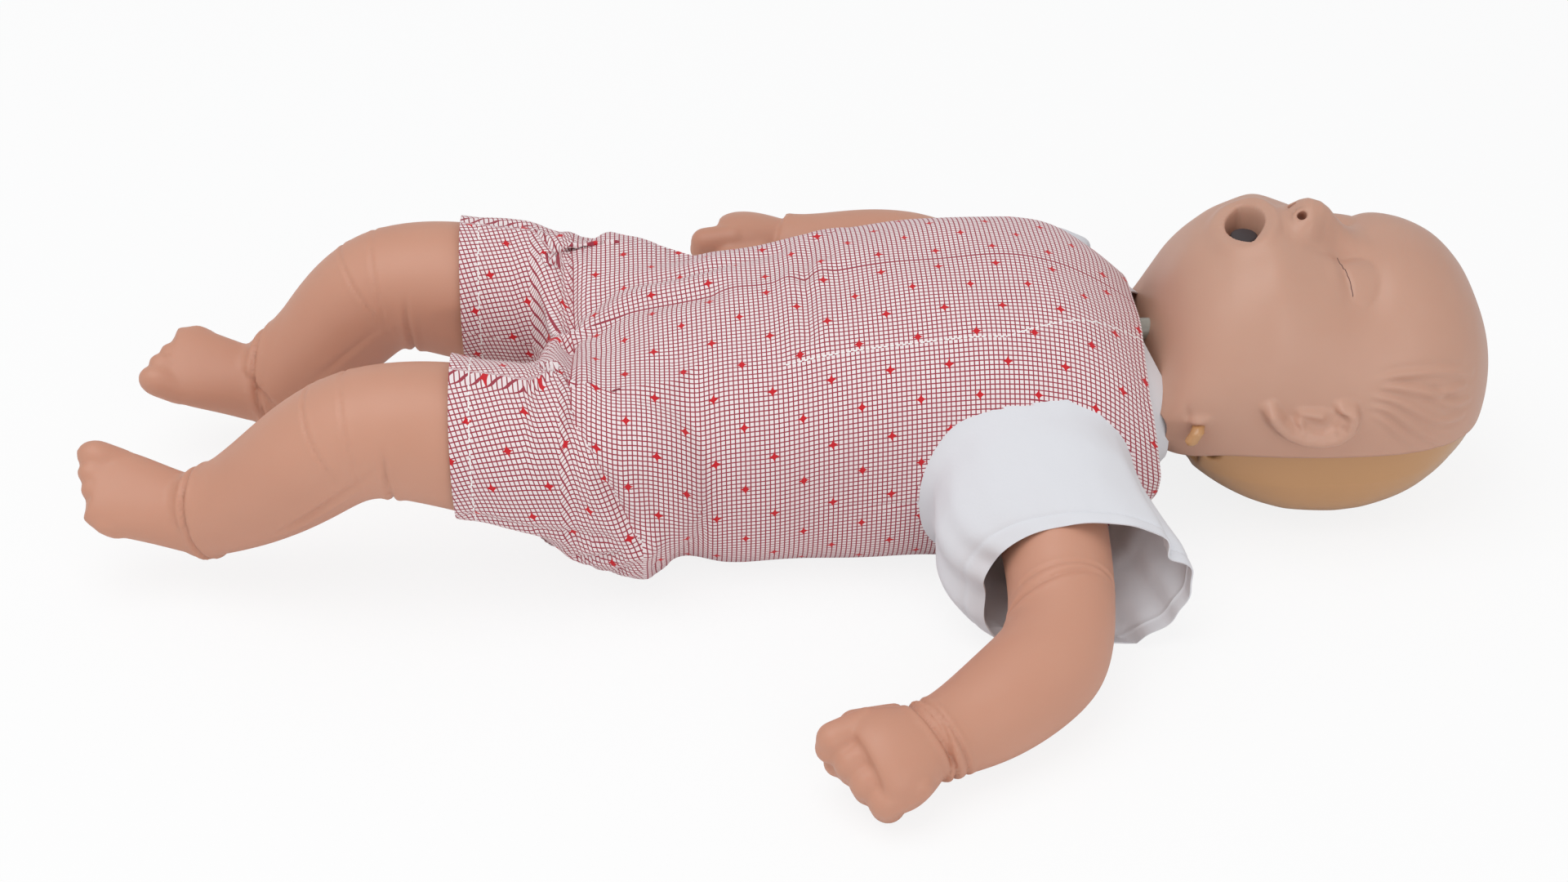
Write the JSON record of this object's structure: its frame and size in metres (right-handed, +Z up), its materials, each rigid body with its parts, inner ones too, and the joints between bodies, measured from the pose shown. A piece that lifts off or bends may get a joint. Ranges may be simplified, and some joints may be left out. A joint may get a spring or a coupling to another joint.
{
  "type": "infant airway training manikin",
  "caption": "Dressed infant airway training manikin lying on its back, with a tilting head, open airway, sprung chest plate and turning arms and legs.",
  "frame": {"origin": "on the floor under the middle of the trunk, in the flat back of the romper", "axes": "+X along the body to the crown of the head, +Y to the manikin's right side, +Z up out of the face"},
  "size_m": [0.5908, 0.4251, 0.1465],
  "materials": {
    "vinyl_skin": "soft satin vinyl",
    "tan_shell": "glossy hard plastic",
    "orange_shell": "glossy hard plastic",
    "trunk_plastic": "satin hard plastic",
    "clear_tube": "clear soft vinyl",
    "bag_film": "milky film",
    "black_rubber": "matte rubber",
    "steel": "plain steel",
    "white_cotton": "white jersey",
    "checked_cotton": "woven cotton with a small red check and small stars"
  },
  "bodies": {
    "trunk": {"trunk_shell": "trunk_plastic", "chest_cover": "vinyl_skin", "spring_post": "trunk_plastic", "chest_spring": "steel", "airway_hose": "clear_tube", "neck_bracket": "trunk_plastic", "neck_pin": "steel", "neck_screws": "steel", "shirt_body": "white_cotton", "left_sleeve": "white_cotton", "right_sleeve": "white_cotton", "romper_body": "checked_cotton"},
    "chest": {"chest_plate": "trunk_plastic", "lung_bag": "bag_film"},
    "head": {"face_skin": "vinyl_skin", "front_skull": "orange_shell", "back_skull": "tan_shell", "airway_plug": "black_rubber", "throat_tube": "clear_tube"},
    "arm_left": {"left_arm": "vinyl_skin"},
    "arm_right": {"right_arm": "vinyl_skin"},
    "leg_left": {"left_leg": "vinyl_skin", "romper_leg_left": "checked_cotton"},
    "leg_right": {"right_leg": "vinyl_skin", "romper_leg_right": "checked_cotton"}
  },
  "joints": [
    {"name": "head_tilt", "type": "hinge", "parent": "trunk", "child": "head", "pos_m": [0.15, 0, 0.048], "axis": [0, 1, 0], "range_deg": [0, 25]},
    {"name": "chest_press", "type": "slide", "parent": "trunk", "child": "chest", "axis": [0, 0, -1], "range_m": [0, 0.035], "stiffness_N_per_m": 2500, "springref_m": -0.004, "deforming": ["chest_spring"]},
    {"name": "left_arm_swing", "type": "hinge", "parent": "trunk", "child": "arm_left", "pos_m": [0.076, -0.064, 0.05], "axis": [0, 1, 0], "range_deg": [0, 180]},
    {"name": "right_arm_swing", "type": "hinge", "parent": "trunk", "child": "arm_right", "pos_m": [0.076, 0.064, 0.05], "axis": [0, 1, 0], "range_deg": [0, 180]},
    {"name": "left_leg_swing", "type": "hinge", "parent": "trunk", "child": "leg_left", "pos_m": [-0.1, -0.054, 0.053], "axis": [0, 1, 0], "range_deg": [-3, 60]},
    {"name": "right_leg_swing", "type": "hinge", "parent": "trunk", "child": "leg_right", "pos_m": [-0.1, 0.054, 0.053], "axis": [0, 1, 0], "range_deg": [-3, 60]}
  ]
}
